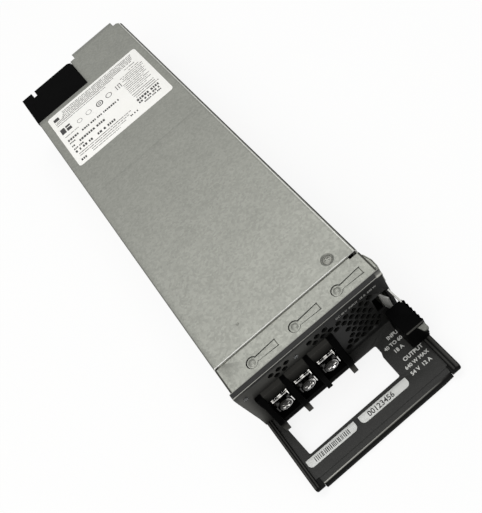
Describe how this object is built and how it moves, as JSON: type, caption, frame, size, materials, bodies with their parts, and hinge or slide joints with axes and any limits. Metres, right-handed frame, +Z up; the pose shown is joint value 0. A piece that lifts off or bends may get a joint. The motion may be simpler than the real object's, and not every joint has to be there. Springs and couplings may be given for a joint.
{
  "type": "dc power supply",
  "caption": "Slide-in DC power supply: flat galvanised case, perforated black panel with barrier terminals, pull handle, sprung release latch, cooling fan and blind-mate rear connector.",
  "frame": {"origin": "underside of the case, on its centre line, at the mouth behind the front panel", "axes": "+X to the latch side, +Y from the panel to the rear connector, +Z up"},
  "size_m": [0.0865, 0.3273, 0.0401],
  "materials": {
    "galvanised_steel": "fine spangled zinc",
    "plated_steel": "zinc plated",
    "black_painted_steel": "fine textured powder coat",
    "black_plastic": "moulded",
    "nickel_plate": "bright nickel",
    "stainless_spring": "rolled",
    "clear_plastic": "polished",
    "white_label": "satin film",
    "silver_label": "metallised film",
    "insulating_film": "satin film",
    "board_laminate": "solder resist",
    "copper": "enamelled wire",
    "ferrite": "sintered",
    "component_plastic": "moulded",
    "glass": "clear",
    "capacitor_sleeve": "shrink sleeve",
    "aluminium": "extruded",
    "contact_plate": "gold flash"
  },
  "bodies": {
    "case": {"board_screws": "plated_steel", "board_spacers": "plated_steel", "bulk_capacitors": "capacitor_sleeve", "chassis_base": "galvanised_steel", "connector_housing": "black_plastic", "control_board": "board_laminate", "cover_screws": "plated_steel", "fan_housing": "black_plastic", "fan_screws": "plated_steel", "fan_stator": "copper", "film_capacitors": "component_plastic", "front_collar": "galvanised_steel", "front_panel": "black_painted_steel", "handle_frame": "black_painted_steel", "handle_label_left": "silver_label", "handle_label_right": "silver_label", "handle_screws": "plated_steel", "handle_spacers": "plated_steel", "input_choke_base": "black_plastic", "input_choke_core": "copper", "input_fuse": "glass", "input_light_pipe": "clear_plastic", "insulating_sheet": "insulating_film", "latch_rivets": "plated_steel", "main_board": "board_laminate", "output_capacitors": "capacitor_sleeve", "output_inductor": "copper", "output_light_pipe": "clear_plastic", "power_contacts": "contact_plate", "primary_heatsink": "aluminium", "primary_transistors": "component_plastic", "rating_label": "white_label", "secondary_heatsink": "aluminium", "secondary_transistors": "component_plastic", "signal_contacts": "contact_plate", "terminal_bar_left": "nickel_plate", "terminal_bar_middle": "nickel_plate", "terminal_bar_right": "nickel_plate", "terminal_block": "black_plastic", "terminal_clamp_left": "nickel_plate", "terminal_clamp_middle": "nickel_plate", "terminal_clamp_right": "nickel_plate", "terminal_washer_left": "nickel_plate", "terminal_washer_middle": "nickel_plate", "terminal_washer_right": "nickel_plate", "top_cover": "galvanised_steel", "transformer_core": "ferrite", "transformer_winding": "copper"},
    "latch": {"latch_spring": "stainless_spring", "latch_cap": "black_plastic"},
    "fan": {"fan_rotor": "black_plastic"},
    "left_screw": {"terminal_screw_left": "nickel_plate"},
    "middle_screw": {"terminal_screw_middle": "nickel_plate"},
    "right_screw": {"terminal_screw_right": "nickel_plate"}
  },
  "joints": [
    {"name": "latch_release", "type": "hinge", "parent": "case", "child": "latch", "pos_m": [0.03895, 0.07, 0.0215], "axis": [0, 0, 1], "range_deg": [-2.9, 0], "stiffness_Nm_per_rad": 12},
    {"name": "fan_spin", "type": "hinge", "parent": "case", "child": "fan", "pos_m": [0.0155, 0.045, 0.02], "axis": [0, 1, 0], "continuous": true},
    {"name": "left_screw_turn", "type": "hinge", "parent": "case", "child": "left_screw", "pos_m": [-0.0271, -0.0086, 0.017], "axis": [0, 1, 0], "range_deg": [-1080, 960]},
    {"name": "middle_screw_turn", "type": "hinge", "parent": "case", "child": "middle_screw", "pos_m": [-0.01355, -0.0086, 0.017], "axis": [0, 1, 0], "range_deg": [-1080, 960]},
    {"name": "right_screw_turn", "type": "hinge", "parent": "case", "child": "right_screw", "pos_m": [0, -0.0086, 0.017], "axis": [0, 1, 0], "range_deg": [-1080, 960]}
  ]
}
